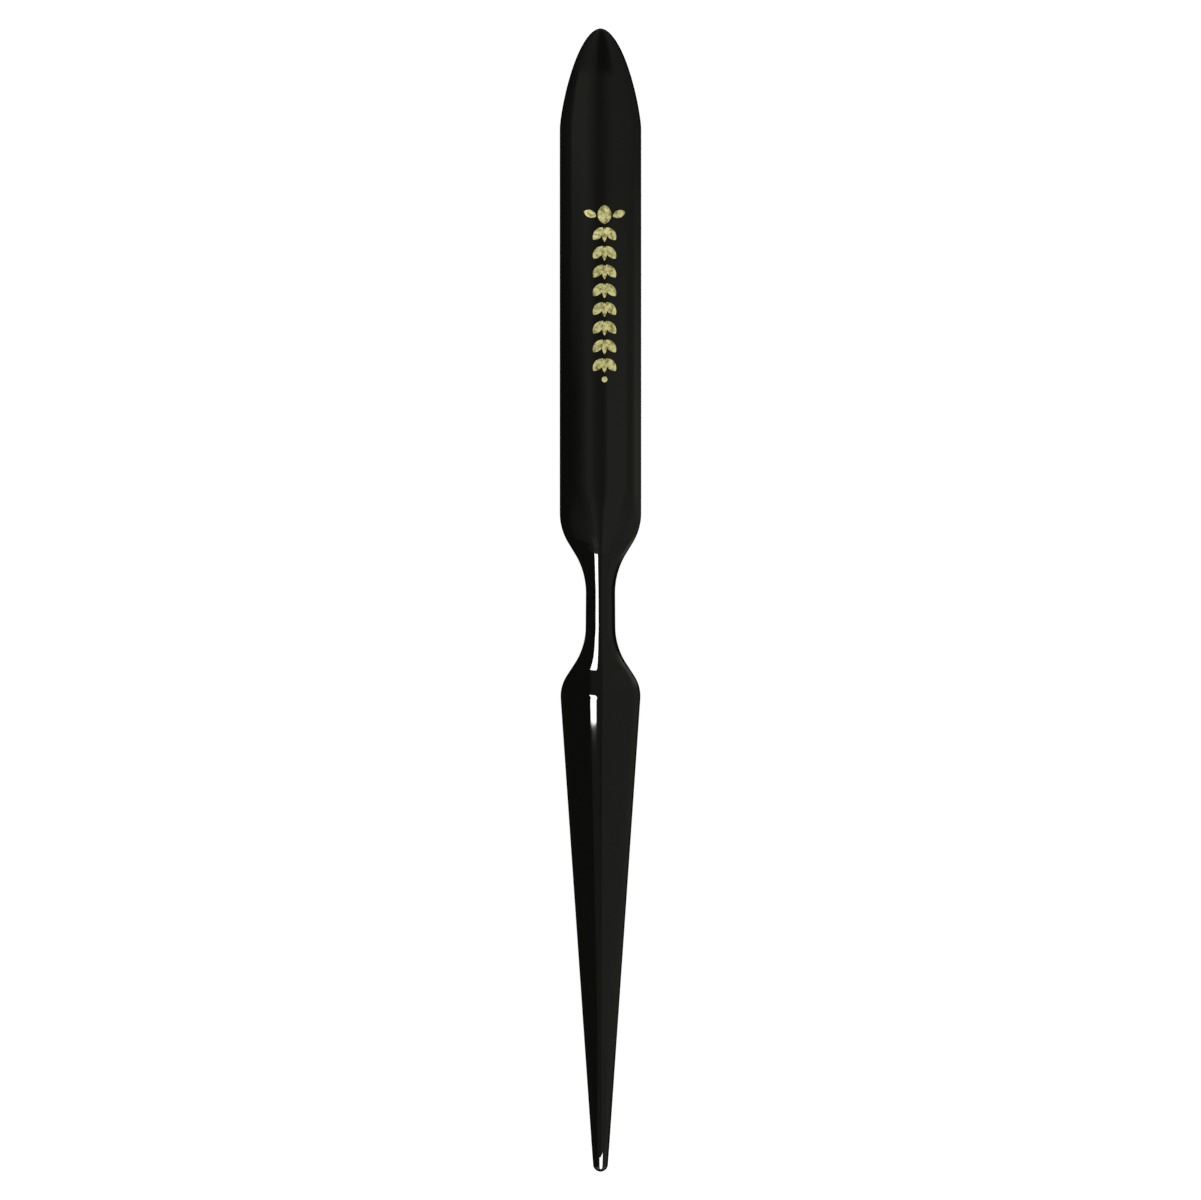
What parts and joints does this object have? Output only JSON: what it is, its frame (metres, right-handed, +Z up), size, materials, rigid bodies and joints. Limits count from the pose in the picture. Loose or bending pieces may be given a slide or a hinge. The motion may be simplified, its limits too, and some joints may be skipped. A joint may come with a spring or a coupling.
{
  "type": "double-ended modelling tool",
  "caption": "Double-ended hand tool for shaping clay and filler: a flat spatula blade with a pointed-arch end, a slim round waist and a long tapered spike, moulded in one shot.",
  "frame": {"origin": "bottom centre of the bounding box: the tool lies on its back, stamped face up, and the lowest point of its back is at Z = 0", "axes": "+Y along the tool towards the blade's point, +Z up through the stamped face, +X to the right as the stamped face is seen with the blade's point away from the viewer"},
  "size_m": [0.0142, 0.2, 0.0071],
  "materials": {
    "moulded_plastic": "gloss",
    "gold_foil": "satin foil"
  },
  "bodies": {
    "root": {"body": "moulded_plastic", "foil_bud": "gold_foil", "foil_side_leaf_left": "gold_foil", "foil_side_leaf_right": "gold_foil", "foil_spray_1": "gold_foil", "foil_spray_2": "gold_foil", "foil_spray_3": "gold_foil", "foil_spray_4": "gold_foil", "foil_spray_5": "gold_foil", "foil_spray_6": "gold_foil", "foil_spray_7": "gold_foil", "foil_spray_8": "gold_foil", "foil_berry": "gold_foil"}
  },
  "joints": []
}
